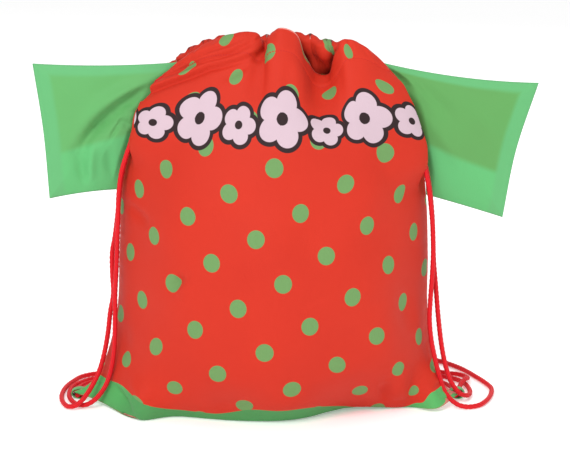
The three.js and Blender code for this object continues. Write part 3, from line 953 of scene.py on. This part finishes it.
def turned_hem(side, points, outward, top, q):
    """The cloth turned in at the mouth, which leaves room for the cords and ends close to the panel."""
    turned = []
    for k in range(1, HEM_ROWS + 1):
        depth = TURNED[side] * k / HEM_ROWS
        cloth, normals = row_at(top - depth, points, outward, q)
        share = min(1.0, 0.15 + depth / TUNNEL_HEIGHT * 0.85)
        away = 1.2 + 4.9 * math.sin(math.pi * share) ** 0.8
        turned.append(cloth - normals * away)
    return np.array(turned)


def make_panel(side, middle, hem_table, creases, pleats, materials, seed):
    """One panel with its lip and its turned hem, from the bottom seam over the mouth's edge and down."""
    points, p, q = panel_grid(middle, hem_table)
    outward = normals_of(points) * (1 if side == "front" else -1)
    top = q[-1, 0]
    shift = wrinkles(p, q, seed)
    x, z = points[..., 0], points[..., 2]
    for a, b, width, depth in creases:
        shift = shift + crease(x, z, a, b, width, depth)
    for line, width, depth in pleats:
        shift = shift + pleat(x, z, line, width, depth) * smooth(q, 150, 200)
    below_top = top - q
    height, low, high = GATHERS[side]
    shift += height * gathers(p) * smooth(below_top, low, high) * smooth(from_seams(p), 6, 50)
    in_hem = smooth(below_top, TUNNEL_HEIGHT + 1.5, TUNNEL_HEIGHT - 4)
    shift += 0.9 * in_hem * smooth(below_top, 0, 5) - 0.3 * bell(below_top, TUNNEL_HEIGHT, 1.3)
    shift *= smooth(from_seams(p), -2, 6)
    points = points + outward * shift[..., None]
    if side == "front":
        points[..., 0] += overhang(points)
    points = settle(points)
    points[..., 2] = np.maximum(points[..., 2], HALF_CLOTH)

    outward = normals_of(points) * (1 if side == "front" else -1)
    hem_cords(side, points, outward, top, q, cord)
    points = np.concatenate([points, turned_hem(side, points, outward, top, q)])
    turned_q = top + TURNED[side] * np.arange(1, HEM_ROWS + 1) / HEM_ROWS
    p = np.concatenate([p, np.broadcast_to(p[-1], (HEM_ROWS, COLUMNS))])
    q = np.concatenate([q, np.broadcast_to(turned_q[:, None], (HEM_ROWS, COLUMNS))])
    uv = np.stack([p, q], axis=-1)
    if side == "back":
        points, uv = points[:, ::-1], uv[:, ::-1]
    piece = grid_mesh(f"{side}_cloth", points * MM, uv, materials[0])
    solidify(piece, PANEL_CLOTH, materials[1])
    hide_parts(f"{side}_panel", f"{side}_lip", f"{side}_cord_tunnel")
    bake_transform(piece)


inside_cloth = plain_cloth("cloth_reverse", INSIDE, INSIDE_DARK, 0.75)
top_of_front = panel_grid(FRONT_MIDDLE, FRONT_HEM)[2][-1, 0]
top_of_back = panel_grid(BACK_MIDDLE, BACK_HEM)[2][-1, 0]
front_print = printed_cloth("printed_front", True, top_of_front)
back_print = printed_cloth("printed_back", False, top_of_back)
make_panel("front", FRONT_MIDDLE, FRONT_HEM, FRONT_CREASES, FRONT_PLEATS, (front_print, inside_cloth), 5)
make_panel("back", BACK_MIDDLE, BACK_HEM, BACK_CREASES, [], (back_print, inside_cloth), 9)


# --- sleeves -----------------------------------------------------------------------------------------

SLEEVE_Y = 9.0
# Both ends of a sleeve from the bottom up (x and height), how far its bottom and top edges rise between
# them, where its seam is, and its folds: both ends as shares outwards and upwards, then width as a share
# and height in millimetres, below 0 for a valley.
SLEEVES = {
    "left": {
        "inner": [(-144.5, 191.5), (-142, 212), (-132.5, 239), (-126, 257), (-120, 270), (-111, 282),
                  (-100, 292), (-84, 305.5)],
        "outer": [(-208.5, 183), (-212.5, 243), (-220.5, 303.5)],
        "rise": (1.5, -2.6),
        "hinge": -151.5,
        "folds": [((0.70, 0.40), (0.02, 0.95), 0.08, 4.2), ((0.64, 0.27), (0.05, 0.76), 0.10, -7.4),
                  ((0.66, 0.30), (0.46, 0.05), 0.06, -4.0), ((0.52, 0.36), (0.38, 0.06), 0.055, 3.0),
                  ((0.06, 0.36), (0.26, 0.47), 0.028, -3.6), ((0.10, 0.52), (0.24, 0.58), 0.03, 2.2),
                  ((0.30, 0.30), (0.20, 0.46), 0.03, -2.4), ((0.10, 0.10), (0.32, 0.26), 0.045, -2.6),
                  ((0.30, 0.90), (0.62, 0.72), 0.07, -1.4), ((0.66, 0.28), (0.34, 0.55), 0.05, -4.0)],
    },
    "right": {
        "inner": [(125, 186.5), (123.5, 210), (117.5, 238), (113, 260), (105, 279), (95, 294),
                  (78, 306)],
        "outer": [(193, 166), (203.5, 226), (222, 286.5)],
        "rise": (0.4, -4.2),
        "hinge": 133.0,
        "folds": [((0.10, 0.50), (0.50, 0.28), 0.08, 2.4), ((0.10, 0.85), (0.45, 0.55), 0.09, -2.2),
                  ((0.08, 0.95), (0.20, 0.62), 0.05, 2.4), ((0.5, 0.8), (0.85, 0.5), 0.10, 1.6)],
    },
}
SLEEVE_COLUMNS = 90
SLEEVE_ROWS = 90
BOARD_OUTWARD = (0.12, 0.86)   # the part of a sleeve that its stiffening sheet covers
BOARD_UPWARD = (0.31, 0.91)
BOARD = 0.6 * MM
SLEEVE_CLOTH = 0.35 * MM
SLEEVE_EDGE_HALF = 0.5         # from the sleeve's middle to its cloth, at its edges
SLEEVE_PUFF = 5.6              # and how much more inside them
FOLD_SHARE = 0.9               # of the folds' heights


def sleeve_grid(side, sign):
    """A sleeve's front layer (sign -1), back layer (1) or middle (0), and its flat coordinates.

    They are the distance in from the outer edge and the height above the lower one.
    """
    data = SLEEVES[side]
    flat = {k: [(x, 0, z) for x, z in data[k]] for k in ("inner", "outer")}
    up = np.linspace(0, 1, SLEEVE_ROWS)
    outward = np.linspace(0, 1, SLEEVE_COLUMNS)
    a = catmull(flat["inner"], up)[:, None]
    b = catmull(flat["outer"], up)[:, None]
    o, u = np.meshgrid(outward, up)
    points = a + (b - a) * o[..., None]
    bottom_rise, top_rise = data["rise"]
    points[..., 2] += 4 * o * (1 - o) * (bottom_rise + (top_rise - bottom_rise) * u)
    wide = np.linalg.norm(b - a, axis=2)
    tall = points[-1, :, 2] - points[0, :, 2]
    from_edge = np.minimum.reduce([(1 - o) * wide, u * tall[None], (1 - u) * tall[None]])
    fullness = 1 - np.exp(-from_edge / 16.0)
    thick = SLEEVE_EDGE_HALF + SLEEVE_PUFF * fullness * smooth(o, 0, 0.12)
    if sign < 0:                       # at the shoulder the front layer lies over the cords
        thick += 4.0 * bell(points[..., 2], 277, 9) * smooth(o, 0.2, 0)
    fold = np.zeros_like(o)
    for start, end, width, height in data["folds"]:
        fold += crease(o, u, start, end, width, height) * smooth(from_edge, 1, 12)
    points[..., 1] = SLEEVE_Y + sign * thick - fold * FOLD_SHARE
    return points, np.stack([(1 - o) * wide, u * SLEEVE_TALL], axis=-1)


def make_sleeve(side, material, inner_material):
    """A sleeve's stiffening sheet and its two layers of cloth."""
    points, uv = sleeve_grid(side, 0)
    columns = slice(*(round(share * SLEEVE_COLUMNS) for share in BOARD_OUTWARD))
    rows = slice(*(round(share * SLEEVE_ROWS) for share in BOARD_UPWARD))
    piece = grid_mesh(f"{side}_sleeve_board", points[rows, columns] * MM, uv[rows, columns], board)
    solidify(piece, BOARD)
    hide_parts(f"{side}_sleeve_stiffener")
    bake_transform(piece)
    for layer, sign in (("front", -1), ("back", 1)):
        points, uv = sleeve_grid(side, sign)
        if (side == "left") == (sign < 0):
            points, uv = points[:, ::-1], uv[:, ::-1]
        piece = grid_mesh(f"{side}_sleeve_{layer}_cloth", points * MM, uv, material)
        solidify(piece, SLEEVE_CLOTH, inner_material)
        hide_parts(f"{side}_sleeve_{layer}")
        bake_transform(piece)


left_green = sleeve_cloth("sleeve_green_left", SLEEVE_OLIVE, srgb(90, 166, 96))
# The right sleeve's middle is painted darker than the left's: painted shade, as that side gets less
# light.
right_green_shaded = sleeve_cloth("sleeve_green_right_shaded", srgb(92, 148, 82), srgb(90, 158, 84))
green_inside = plain_cloth("sleeve_reverse", SLEEVE_GREEN, SLEEVE_OLIVE, 0.7)
board = plain_cloth("stiffening_sheet", srgb(226, 218, 196), srgb(212, 203, 180), 0.85)
make_sleeve("left", left_green, green_inside)
make_sleeve("right", right_green_shaded, green_inside)
for side in ("left", "right"):
    make_loop(side, green_inside, green_inside)
